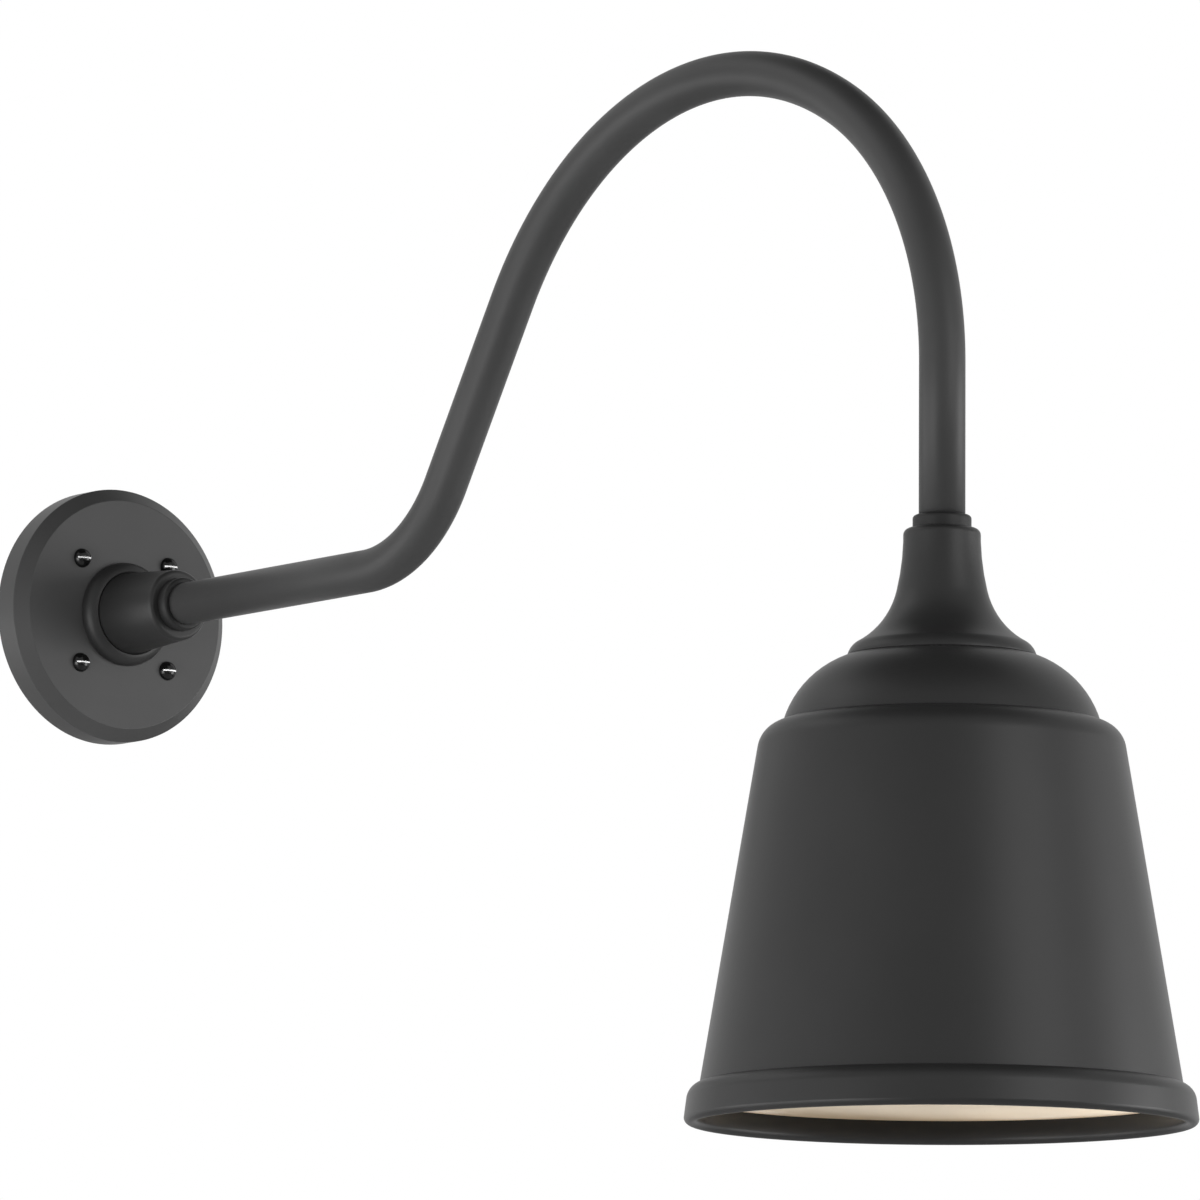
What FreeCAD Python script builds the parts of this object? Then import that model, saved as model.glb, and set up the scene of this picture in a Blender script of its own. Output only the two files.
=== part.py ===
import FreeCAD, Part
import math
import os

# A wall light with a bent tube arm and a flared metal shade, in millimetres.
# The origin is the centre of the wall plate's back, on the wall. +Z is up and the arm reaches out along -Y.
# A level is a height along Z. A depth is a distance from the wall, along -Y.

# Clearances, and how far a cut runs past what it cuts
running_gap = 0.05
thread_gap = 0.1
hole_gap = 0.2
open_gap = 0.3
overrun = 5.0

# Arm: a steel tube bent in one plane, from the wall out and over to the shade
arm_diameter = 25.0
arm_wall = 2.0
reach = 791.0
foot_bend_radius = 90.5
leg_length = 116.0
leg_slope_deg = 57.7
crest_bend_radius = 219.0
front_bend_radius = 178.0
front_bend_deg = 58.5
drop_length = 91.0
socket_depth = 32.0
neck_socket_depth = 23.0
end_groove_width = 5.6
end_groove_depth = 0.8

# Wall plate: a round hollow casting with a bevelled front edge
plate_diameter = 152.4
plate_side = 16.0
plate_depth = 22.5
plate_face_diameter = 137.6
plate_skin = 3.5
plate_rim = 5.0
gasket_width = 2.0
gasket_thickness = 2.0
boss_diameter = 13.0
boss_recess = 6.0

# Plate screws: slotted round heads on a square, with a plain shank in the plate and a thread for the wall
screw_circle = 88.9
screw_diameter = 6.0
screw_shank_diameter = 5.0
screw_thread_depth = 1.0
screw_head_diameter = 11.6
screw_head_height = 4.6
screw_slot_width = 0.9
screw_slot_depth = 1.9
screw_head_via_shares = (0.72, 0.3)
screw_into_wall = 30.0

# Hub: the casting on the plate that the arm turns in
hub_bead_diameter = 62.0
hub_crown_diameter = 50.4
hub_bead_height = 8.5
hub_bead_via_shares = (0.293, 0.707)
hub_crease = 0.7
hub_base_diameter = 48.4
hub_nose_diameter = 42.0
hub_length = 57.0
hub_nose_round = 2.5
hub_spigot_diameter = 20.0
hub_spigot_length = 11.0
hub_chamber_diameter = 16.0
hub_chamber_floor = 6.0
washer_diameter = 29.0
washer_thickness = 1.2
washer_teeth = 12
washer_tooth_share = 0.12
locknut_across_flats = 28.0
locknut_thickness = 5.0

# Collars: the screwed rings that press a seal round the tube, alike at both ends of the arm
collar_diameter = 31.6
collar_height = 7.2
collar_round = 2.0
collar_spigot_diameter = 28.6
collar_spigot_length = 5.6
seal_thickness = 1.8

# Grub screws that hold the tube's ends in the hub and the neck
grub_diameter = 5.0
grub_tip_diameter = 3.6
grub_tip_length = 1.6
grub_key = 2.5
grub_key_depth = 2.5
grub_inset = 1.5

# Cable and leads
cable_diameter = 6.5
lead_diameter = 2.2
lead_offset = 1.5
lead_bend_radius = 4.0
lamp_lead_bend_radius = 3.0
lamp_lead_straight = 0.7
grommet_diameter = 10.0
grommet_flange_diameter = 12.8
grommet_flange = 1.5
cable_tail = 1.0
connector_start = 24.0
connector_length = 18.0
connector_mouth_diameter = 8.6
connector_tip_diameter = 6.0
connector_ribs = 8
connector_bore_share = 0.55
earth_boss_place = 22.0
earth_boss_diameter = 9.0
earth_screw_diameter = 4.0
earth_screw_length = 8.0
earth_lead_length = 16.0
eyelet_diameter = 8.4
eyelet_thickness = 0.8
eyelet_barrel_diameter = 3.6
eyelet_barrel_length = 6.0

# Neck: the bell-mouthed casting over the shade
neck_top_diameter = 41.6
neck_top_round = 3.5
neck_waist_diameter = 48.6
neck_waist_drop = 33.5
neck_mouth_diameter = 92.4
neck_mouth_drop = 62.03
neck_height = 69.0
neck_wall = 3.0
neck_web = 4.0
neck_waist_via_shares = (0.23, 0.42)
neck_mouth_via_shares = (0.358, 0.584)
flange_diameter = 101.0
flange_edge = 0.8
flange_via_shares = (0.6, 0.41)
neck_opening_diameter = 79.0

# Shade: one metal shell with a domed top, a shoulder, a long cone and a hemmed rim
shade_gasket_thickness = 1.0
shade_wall = 1.5
shade_opening_diameter = 76.0
shade_flat_diameter = 106.6
dome_diameter = 169.6
dome_height = 34.5
dome_via_shares = (0.56, 0.33)
shoulder_step = 1.4
shoulder_step_drop = 0.5
shoulder_diameter = 196.6
shoulder_height = 13.5
shoulder_via_shares = (0.686, 0.377)
cone_diameter = 256.8
shade_height = 249.8
rim_height = 21.9
rim_diameter = 273.4
rim_top_diameter = 270.6
rim_top_drop = 7.5
rim_via_shares = (0.71, 0.43)
hem_width = 7.1
hem_height = 12.8
shade_screw_circle = 89.0
shade_screw_count = 3
shade_screw_diameter = 4.0
shade_screw_length = 7.0
small_head_share = 1.85
small_head_height_share = 0.62

# Lampholder: a porcelain body with a metal screw shell, on two posts in the neck
post_diameter = 7.0
post_length = 10.0
post_head_gap = 0.225
post_screw_diameter = 3.0
post_screw_length = 14.0
holder_diameter = 34.0
holder_height = 43.0
holder_roof = 9.0
holder_bore_diameter = 29.2
holder_round = 1.5
shell_wall = 0.35
shell_wave = 0.45
shell_height = 29.0
thread_pitch = 3.63
contact_width = 6.0
contact_length = 14.0
contact_thickness = 0.6
contact_drop = 1.6
terminal_place = 9.0
terminal_head_diameter = 5.8
terminal_head_height = 2.4
terminal_diameter = 3.0
terminal_length = 5.0
terminal_lead_share = 0.4

# Lamp: a screw-in bulb with an opal globe over a board of emitters
lamp_tip_diameter = 9.0
lamp_tip_height = 1.0
lamp_tip_via_shares = (0.7, 0.3)
lamp_insulator_height = 3.0
lamp_base_diameter = 26.4
lamp_base_height = 23.0
lamp_collar_diameter = 27.2
lamp_collar_height = 6.0
lamp_globe_diameter = 60.0
lamp_housing_height = 36.0
lamp_housing_via_shares = (0.42, 0.55)
lamp_globe_wall = 1.2
lamp_board_diameter = 50.0
lamp_board_thickness = 1.6
lamp_seat = 4.0
lamp_globe_spring = 8.0
emitter_count = 10
emitter_size = 3.0
emitter_thickness = 0.7
emitter_circle = 34.0

# Places worked out from the sizes above
arm_radius = arm_diameter / 2
hub_nose_depth = plate_depth + hub_length
arm_start_depth = hub_nose_depth - socket_depth
end_groove_place = neck_socket_depth / 3
hub_grub_depth = arm_start_depth + end_groove_place
collar_seat_depth = collar_spigot_length + seal_thickness + thread_gap
leg_slope = math.radians(leg_slope_deg)
front_bend = math.radians(front_bend_deg)
crest_bend = leg_slope + math.pi / 2 - front_bend


def vector(x, y, z):
    return FreeCAD.Vector(x, y, z)


def arm_route(start_extra, end_extra):
    """Centreline of the arm as corners and bends in (depth, level): straight runs and tangent arcs."""
    bends = [(foot_bend_radius, leg_slope, 1)]
    bends += [(crest_bend_radius, crest_bend, -1)]
    bends += [(front_bend_radius, front_bend, -1)]
    straights = [None, leg_length, 0, drop_length + end_extra]
    span = 0
    heading = 0
    for index, (radius, turn, side) in enumerate(bends):
        span += side * radius * (math.sin(heading + side * turn) - math.sin(heading))
        heading += side * turn
        if index == 0:
            span += leg_length * math.cos(heading)
    straights[0] = reach - span - arm_start_depth + start_extra
    depth = arm_start_depth - start_extra
    level = 0
    heading = 0
    edges = []
    for index, straight in enumerate(straights):
        if straight > 0:
            end_depth = depth + straight * math.cos(heading)
            end_level = level + straight * math.sin(heading)
            edges.append(Part.LineSegment(vector(0, -depth, level), vector(0, -end_depth, end_level)))
            depth, level = end_depth, end_level
        if index < len(bends):
            radius, turn, side = bends[index]
            points = [vector(0, -depth, level)]
            centre_depth = depth - side * radius * math.sin(heading)
            centre_level = level + side * radius * math.cos(heading)
            for step in (heading + side * turn / 2, heading + side * turn):
                depth = centre_depth + side * radius * math.sin(step)
                level = centre_level - side * radius * math.cos(step)
                points.append(vector(0, -depth, level))
            edges.append(Part.Arc(*points))
            heading += side * turn
    return edges, level


neck_top_level = arm_route(0, 0)[1]
neck_base_level = neck_top_level - neck_height
neck_grub_level = neck_top_level - neck_socket_depth + end_groove_place
web_top_level = neck_top_level - neck_socket_depth - open_gap
web_level = web_top_level - neck_web
holder_top_level = web_level - post_length
holder_roof_level = holder_top_level - holder_roof
shade_top_level = neck_base_level - shade_gasket_thickness
shell_bore_diameter = holder_bore_diameter - 2 * (open_gap + shell_wall + shell_wave)
post_spacing = shell_bore_diameter - post_screw_diameter * small_head_share - 2 * post_head_gap
lamp_tip_level = holder_roof_level - contact_thickness - contact_drop - open_gap
lamp_base_level = lamp_tip_level - lamp_tip_height - lamp_insulator_height
lamp_collar_level = lamp_base_level - lamp_base_height
lamp_housing_level = lamp_collar_level - lamp_housing_height
plate_inside_depth = plate_depth - plate_skin
hub_spigot_depth = plate_depth - hub_spigot_length
cable_end_depth = hub_spigot_depth - grommet_flange - cable_tail
lead_depth = cable_end_depth - lead_bend_radius
cable_end_level = web_level - grommet_flange - cable_tail
screw_place = screw_circle / 2 / math.sqrt(2)


class Outline:
    """A half section drawn corner by corner in (radius, place along the axis), then turned."""

    def __init__(self, radius, place):
        self.corners = [(radius, place, 0)]
        self.vias = []

    def line(self, radius, place, rounding=0):
        """A straight edge to a corner, which gets a round if rounding is given."""
        self.corners.append((radius, place, rounding))
        self.vias.append(None)
        return self

    def arc(self, shares, radius, place):
        """An arc to a corner, through the point at these shares of the two steps."""
        from_radius, from_place, _ = self.corners[-1]
        via_radius = from_radius + shares[0] * (radius - from_radius)
        via_place = from_place + shares[1] * (place - from_place)
        self.corners.append((radius, place, 0))
        self.vias.append((via_radius, via_place))
        return self

    def half_turn(self, bulge, radius, place):
        """A half circle to a corner, bulging along the axis by its own radius, up or down."""
        from_radius, from_place, _ = self.corners[-1]
        middle = (from_radius + radius) / 2
        self.corners.append((radius, place, 0))
        self.vias.append((middle, place + bulge * abs(radius - from_radius) / 2))
        return self

    def edges(self, place_point, closed):
        corners = self.corners
        vias = self.vias + ([None] if closed else [])
        count = len(corners)
        trims = []
        for index, (radius, place, rounding) in enumerate(corners):
            here = (radius, place)
            if rounding == 0:
                trims.append((here, None, here))
                continue
            before = corners[index - 1][:2]
            after = corners[(index + 1) % count][:2]
            trims.append(rounded_corner(before, here, after, rounding))
        made = []
        for index, via in enumerate(vias):
            start = trims[index]
            end = trims[(index + 1) % count]
            if start[1] is not None:
                made.append(Part.Arc(*[place_point(*point) for point in start]))
            if via is None:
                made.append(Part.LineSegment(place_point(*start[2]), place_point(*end[0])))
            else:
                made.append(Part.Arc(place_point(*start[2]), place_point(*via), place_point(*end[0])))
        return made

    def turned(self, axis):
        """The solid of the closed outline, turned about the arm's wall axis or the shade's axis."""
        place_point, centre, direction = axis
        wire = Part.Wire([edge.toShape() for edge in self.edges(place_point, True)])
        return tidy(Part.Face(wire).revolve(centre, direction, 360))

    def shell(self, axis, wall):
        """The solid of a sheet whose outside is the open outline and whose inside is one wall away."""
        place_point, centre, direction = axis
        wire = Part.Wire([edge.toShape() for edge in self.edges(place_point, False)])
        section = wire.makeOffset2D(-wall, 2, True, True)
        return tidy(section.Faces[0].revolve(centre, direction, 360))


def rounded_corner(before, corner, after, radius):
    """Start, middle and end of a round of one radius between two straight edges."""
    arms = []
    for other in (before, after):
        length = math.hypot(other[0] - corner[0], other[1] - corner[1])
        arms.append(((other[0] - corner[0]) / length, (other[1] - corner[1]) / length))
    opening = math.acos(arms[0][0] * arms[1][0] + arms[0][1] * arms[1][1])
    tangent = radius / math.tan(opening / 2)
    start = tuple(corner[k] + arms[0][k] * tangent for k in (0, 1))
    end = tuple(corner[k] + arms[1][k] * tangent for k in (0, 1))
    bisector = [arms[0][k] + arms[1][k] for k in (0, 1)]
    size = math.hypot(*bisector)
    depth = radius / math.sin(opening / 2) - radius
    middle = tuple(corner[k] + bisector[k] / size * depth for k in (0, 1))
    return start, middle, end


def tidy(shape):
    """One solid with outward faces."""
    solid = shape if shape.ShapeType == "Solid" else shape.Solids[0]
    if solid.Volume < 0:
        solid.reverse()
    return solid


# The two axes that round pieces are turned about
wall_axis = (lambda radius, depth: vector(radius, -depth, 0), vector(0, 0, 0), vector(0, 1, 0))
drop_axis = (lambda radius, level: vector(radius, -reach, level), vector(0, -reach, 0), vector(0, 0, 1))


def rod(start, end, diameter):
    """A round bar between two points."""
    step = end - start
    return Part.makeCylinder(diameter / 2, step.Length, start, step)


def hexagon(centre, direction, across_flats, thickness):
    """A hexagonal bar from a point along a direction."""
    radius = across_flats / 2 / math.cos(math.pi / 6)
    turn = FreeCAD.Rotation(vector(0, 0, 1), direction)
    angles = [side * math.pi / 3 for side in range(6)]
    corners = [vector(radius * math.cos(angle), radius * math.sin(angle), 0) for angle in angles]
    wire = Part.makePolygon([centre + turn.multVec(corner) for corner in corners + corners[:1]])
    return Part.Face(wire).extrude(direction * thickness)


def pipe(edges, diameter):
    """A round bar swept along straight runs and tangent arcs."""
    shapes = [edge.toShape() for edge in edges]
    wire = Part.Wire(shapes)
    first = shapes[0]
    start = first.valueAt(first.FirstParameter)
    tangent = first.tangentAt(first.FirstParameter)
    ring = Part.Wire([Part.Circle(start, tangent, diameter / 2).toShape()])
    return tidy(wire.makePipeShell([ring], True, False))


def save(shape, node):
    shape.exportStep("parts/" + node + ".step")
    print(node, len(shape.Solids), "solids", round(shape.Volume), "mm3", "valid", shape.isValid())


def at_corners(piece):
    """One copy of a piece at each of the plate's four screws."""
    places = [(x, z) for x in (-screw_place, screw_place) for z in (-screw_place, screw_place)]
    return [piece.translated(vector(x, 0, z)) for x, z in places]


def wall_plate():
    radius = plate_diameter / 2
    face_radius = plate_face_diameter / 2
    inside = radius - plate_rim
    outline = Outline(hub_spigot_diameter / 2 + hole_gap, plate_inside_depth)
    outline.line(hub_spigot_diameter / 2 + hole_gap, plate_depth)
    outline.line(face_radius, plate_depth, plate_skin / 4)
    outline.line(radius, plate_side, plate_skin / 4)
    outline.line(radius, 0)
    outline.line(inside, 0)
    outline.line(inside, plate_side - plate_skin / 2)
    outline.line(inside - (radius - face_radius) / 2, plate_inside_depth)
    plate = outline.turned(wall_axis)
    boss = rod(vector(0, -boss_recess, 0), vector(0, -plate_depth + plate_skin / 2, 0), boss_diameter)
    plate = plate.fuse(at_corners(boss))
    earth_start = vector(0, -lead_depth - eyelet_thickness - eyelet_barrel_diameter / 2, -earth_boss_place)
    earth_end = vector(0, -plate_depth + plate_skin / 2, -earth_boss_place)
    plate = plate.fuse(rod(earth_start, earth_end, earth_boss_diameter))
    hole = rod(vector(0, overrun, 0), vector(0, -plate_depth - overrun, 0), screw_diameter + 3 * hole_gap)
    plate = plate.cut(Part.makeCompound(at_corners(hole)))
    earth_deep = earth_start + vector(0, -earth_screw_length, 0)
    plate = plate.cut(rod(earth_start + vector(0, overrun, 0), earth_deep, earth_screw_diameter + thread_gap))
    groove_outside = radius - (plate_rim - gasket_width) / 2
    groove = Outline(groove_outside + thread_gap, -overrun)
    groove.line(groove_outside + thread_gap, gasket_thickness)
    groove.line(groove_outside - gasket_width - thread_gap, gasket_thickness)
    groove.line(groove_outside - gasket_width - thread_gap, -overrun)
    return tidy(plate.cut(groove.turned(wall_axis)).removeSplitter())


def wall_gasket():
    outside = plate_diameter / 2 - (plate_rim - gasket_width) / 2
    outline = Outline(outside, 0)
    outline.line(outside, gasket_thickness)
    outline.line(outside - gasket_width, gasket_thickness)
    outline.line(outside - gasket_width, 0)
    return outline.turned(wall_axis)


def plate_screw():
    head = screw_head_diameter / 2
    shank = screw_shank_diameter / 2
    thread = screw_diameter / 2
    tip = -screw_into_wall
    outline = Outline(0, plate_depth + screw_head_height)
    outline.arc(screw_head_via_shares, head, plate_depth)
    outline.line(shank, plate_depth)
    outline.line(shank, screw_thread_depth)
    outline.line(thread, screw_thread_depth)
    outline.line(thread, tip + thread)
    outline.line(0, tip)
    screw = outline.turned(wall_axis)
    slot = Part.makeBox(screw_head_diameter + overrun, screw_slot_depth + overrun, screw_slot_width)
    slot_depth = plate_depth + screw_head_height - screw_slot_depth
    slot.translate(vector(-(screw_head_diameter + overrun) / 2, -slot_depth - screw_slot_depth - overrun, 0))
    slot.translate(vector(0, 0, -screw_slot_width / 2))
    return tidy(screw.cut(slot))


def hub():
    bead = hub_bead_diameter / 2
    root = plate_depth
    crown_depth = root + hub_bead_height
    chamber = hub_chamber_diameter / 2
    bore = grommet_diameter / 2 + thread_gap
    seat = collar_spigot_diameter / 2 + thread_gap
    outline = Outline(bore, hub_spigot_depth)
    outline.line(hub_spigot_diameter / 2, hub_spigot_depth)
    outline.line(hub_spigot_diameter / 2, root)
    outline.line(bead, root)
    outline.arc(hub_bead_via_shares, hub_crown_diameter / 2, crown_depth)
    outline.line(hub_base_diameter / 2, crown_depth - hub_crease)
    outline.line(hub_nose_diameter / 2, hub_nose_depth, hub_nose_round)
    outline.line(seat, hub_nose_depth)
    outline.line(seat, hub_nose_depth - collar_seat_depth)
    outline.line(arm_radius + running_gap, hub_nose_depth - collar_seat_depth)
    outline.line(arm_radius + running_gap, arm_start_depth - open_gap)
    outline.line(chamber, arm_start_depth - open_gap)
    outline.line(chamber, root + hub_chamber_floor)
    outline.line(bore, root + hub_chamber_floor)
    body = outline.turned(wall_axis)
    hole_start = vector(0, -hub_grub_depth, 0)
    hole_end = hole_start + vector(hub_base_diameter, 0, 0)
    return tidy(body.cut(rod(hole_start, hole_end, grub_diameter + thread_gap)))


def grub_screw(centre, direction, outside):
    """A grub screw whose tip stands in the tube's groove and whose head is below the outside."""
    tip_radius = arm_radius - end_groove_depth + open_gap
    shoulder = centre + direction * (tip_radius + grub_tip_length)
    head = centre + direction * (outside - grub_inset)
    screw = rod(centre + direction * tip_radius, shoulder, grub_tip_diameter)
    screw = screw.fuse(rod(shoulder, head, grub_diameter))
    key = hexagon(head - direction * grub_key_depth, direction, grub_key, grub_key_depth + overrun)
    return tidy(screw.cut(key))


def hub_set_screw():
    share = (hub_grub_depth - plate_depth) / hub_length
    outside = (hub_base_diameter + (hub_nose_diameter - hub_base_diameter) * share) / 2
    return grub_screw(vector(0, -hub_grub_depth, 0), vector(1, 0, 0), outside)


def hub_washer():
    start = vector(0, -plate_inside_depth, 0)
    end = start + vector(0, washer_thickness, 0)
    ring = rod(start, end, washer_diameter)
    notch_size = washer_diameter * washer_tooth_share
    notches = []
    for index in range(washer_teeth):
        angle = 2 * math.pi * index / washer_teeth
        place = vector(washer_diameter / 2 * math.cos(angle), overrun, washer_diameter / 2 * math.sin(angle))
        notches.append(rod(place + start, place + start - vector(0, 2 * overrun, 0), notch_size))
    past = vector(0, overrun, 0)
    bore = rod(start - past, end + past, hub_spigot_diameter + 2 * thread_gap)
    return tidy(ring.cut(Part.makeCompound(notches + [bore])))


def hub_locknut():
    start = vector(0, -plate_inside_depth + washer_thickness, 0)
    nut = hexagon(start, vector(0, 1, 0), locknut_across_flats, locknut_thickness)
    bore_start = start - vector(0, overrun, 0)
    bore_end = start + vector(0, locknut_thickness + overrun, 0)
    return tidy(nut.cut(rod(bore_start, bore_end, hub_spigot_diameter + 2 * thread_gap)))


def collar(axis, face):
    """A screwed ring on a face, with its spigot inside, open for the tube to turn in."""
    bore = arm_radius + running_gap
    outline = Outline(bore, face + collar_height)
    outline.line(collar_diameter / 2, face + collar_height, collar_round)
    outline.line(collar_diameter / 2, face)
    outline.line(collar_spigot_diameter / 2, face)
    outline.line(collar_spigot_diameter / 2, face - collar_spigot_length)
    outline.line(bore, face - collar_spigot_length)
    return outline.turned(axis)


def seal(axis, face):
    """The rubber ring between a collar's spigot and the bottom of its counterbore."""
    bore = arm_radius + running_gap
    top = face - collar_spigot_length
    bottom = top - seal_thickness
    outline = Outline(bore, top)
    outline.line(collar_spigot_diameter / 2, top)
    outline.line(collar_spigot_diameter / 2, bottom)
    outline.line(bore, bottom)
    return outline.turned(axis)


def grommet(axis, flange_end, flange_face, far_end):
    """A rubber bush in a cable hole, with a flange at the end that the cable leaves by."""
    bore = cable_diameter / 2 + running_gap
    outline = Outline(bore, flange_end)
    outline.line(grommet_flange_diameter / 2, flange_end, grommet_flange / 3)
    outline.line(grommet_flange_diameter / 2, flange_face)
    outline.line(grommet_diameter / 2, flange_face)
    outline.line(grommet_diameter / 2, far_end)
    outline.line(bore, far_end)
    return outline.turned(axis)


def arm_tube():
    edges, _ = arm_route(0, neck_socket_depth)
    tube = pipe(edges, arm_diameter).cut(pipe(edges, arm_diameter - 2 * arm_wall))
    for axis, end in ((wall_axis, arm_start_depth), (drop_axis, neck_top_level - neck_socket_depth)):
        low = end + end_groove_place - end_groove_width / 2
        high = end + end_groove_place + end_groove_width / 2
        ring = Outline(arm_radius - end_groove_depth, low)
        ring.line(arm_radius + overrun, low)
        ring.line(arm_radius + overrun, high)
        ring.line(arm_radius - end_groove_depth, high)
        tube = tube.cut(ring.turned(axis))
    return tidy(tube)


def arm_cable():
    start_extra = arm_start_depth - cable_end_depth
    edges, _ = arm_route(start_extra, neck_top_level - cable_end_level)
    return pipe(edges, cable_diameter)


def lead(corners, bend):
    """A lead along straight runs, with an arc of one radius at each inner corner."""
    edges = []
    start = corners[0]
    for before, corner, after in zip(corners, corners[1:], corners[2:]):
        towards = (before - corner).normalize()
        onwards = (after - corner).normalize()
        opening = towards.getAngle(onwards)
        tangent = bend / math.tan(opening / 2)
        depth = bend / math.sin(opening / 2) - bend
        middle = corner + (towards + onwards).normalize() * depth
        edges.append(Part.LineSegment(start, corner + towards * tangent))
        edges.append(Part.Arc(corner + towards * tangent, middle, corner + onwards * tangent))
        start = corner + onwards * tangent
    edges.append(Part.LineSegment(start, corners[-1]))
    return pipe(edges, lead_diameter)


def wall_lead(side):
    """A core from the cable's end in the wall plate, out sideways into its connector."""
    x = side * lead_offset
    end = side * (connector_start + connector_length * connector_bore_share - open_gap)
    corners = [vector(x, -cable_end_depth, 0), vector(x, -lead_depth, 0), vector(end, -lead_depth, 0)]
    bend = lead_bend_radius - thread_gap
    return lead(corners, bend)


def earth_lead():
    start = earth_boss_place + eyelet_diameter / 2
    corners = [vector(0, -lead_depth, -start), vector(0, -lead_depth, -start - earth_lead_length)]
    wire = rod(corners[0], corners[1], lead_diameter)
    barrel = rod(corners[0], corners[0] - vector(0, 0, eyelet_barrel_length), eyelet_barrel_diameter)
    face = lead_depth + eyelet_barrel_diameter / 2
    ring_start = vector(0, -face, -earth_boss_place)
    ring_end = ring_start - vector(0, eyelet_thickness, 0)
    ring = rod(ring_start, ring_end, eyelet_diameter)
    tongue_length = eyelet_diameter / 2 + eyelet_barrel_length
    tongue = Part.makeBox(eyelet_barrel_diameter, eyelet_thickness, tongue_length)
    tongue_low = -start - eyelet_barrel_length
    tongue.translate(vector(-eyelet_barrel_diameter / 2, -face - eyelet_thickness, tongue_low))
    web = Part.makeBox(eyelet_barrel_diameter / 2, eyelet_barrel_diameter / 2, eyelet_barrel_length)
    web.translate(vector(-eyelet_barrel_diameter / 4, -face, tongue_low))
    hole_start = ring_start + vector(0, overrun, 0)
    hole = rod(hole_start, ring_end - vector(0, overrun, 0), earth_screw_diameter + hole_gap)
    return tidy(ring.fuse([tongue, web, barrel, wire]).cut(hole))


def small_screw(point, direction, diameter, length):
    """A pan-headed screw: its head's underside is at the point and its shank goes along the direction."""
    head_height = diameter * small_head_height_share
    head = rod(point, point - direction * head_height, diameter * small_head_share)
    rims = [edge for edge in head.Edges if edge.Closed]
    rim = [edge for edge in rims if (edge.CenterOfMass - point).Length > head_height / 2]
    head = head.makeFillet(head_height / 3, rim)
    screw = head.fuse(rod(point, point + direction * length, diameter))
    top = point - direction * head_height
    across = vector(1, 0, 0) if abs(direction.x) < 0.5 else vector(0, 0, 1)
    width = diameter / 5
    slot = Part.makeBox(diameter * 2 * small_head_share, width, head_height)
    slot.translate(vector(-diameter * small_head_share, -width / 2, -head_height / 2))
    turn = FreeCAD.Rotation(across, vector(0, 0, 0), direction, "ZXY")
    slot.Placement = FreeCAD.Placement(top, turn).multiply(slot.Placement)
    return tidy(screw.cut(slot))


def earth_screw():
    face = lead_depth + eyelet_barrel_diameter / 2
    point = vector(0, -face, -earth_boss_place)
    return small_screw(point, vector(0, -1, 0), earth_screw_diameter, earth_screw_length - open_gap)


def wire_connector():
    """A ribbed plastic cap along +X, at the depth of the leads, with a bore for the twisted ends."""
    start = vector(connector_start, -lead_depth, 0)
    end = start + vector(connector_length, 0, 0)
    mouth, tip = connector_mouth_diameter / 2, connector_tip_diameter / 2
    cap = Part.makeCone(mouth, tip, connector_length, start, vector(1, 0, 0))
    rib_size = connector_tip_diameter / 6
    for index in range(connector_ribs):
        angle = 2 * math.pi * index / connector_ribs
        side = vector(0, math.cos(angle), math.sin(angle))
        rib_start = start + vector(connector_length / 4, 0, 0) + side * (connector_mouth_diameter / 2)
        rib_end = end + vector(overrun, 0, 0) + side * (connector_tip_diameter / 2)
        cap = cap.cut(rod(rib_start, rib_end, rib_size))
    bore_end = start + vector(connector_length * connector_bore_share, 0, 0)
    return tidy(cap.cut(rod(start - vector(overrun, 0, 0), bore_end, lead_diameter + 2 * hole_gap)))


def wire_connectors():
    cap = wire_connector()
    axis_point = vector(0, 0, 0)
    caps = [cap, cap.rotated(axis_point, vector(0, 1, 0), 180)]
    low = cap.rotated(axis_point, vector(0, 1, 0), 90)
    low_start = earth_boss_place + eyelet_diameter / 2 + earth_lead_length
    low_start -= connector_length * connector_bore_share - open_gap
    caps.append(low.translated(vector(0, 0, -low_start + connector_start)))
    return Part.makeCompound(caps)


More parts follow.
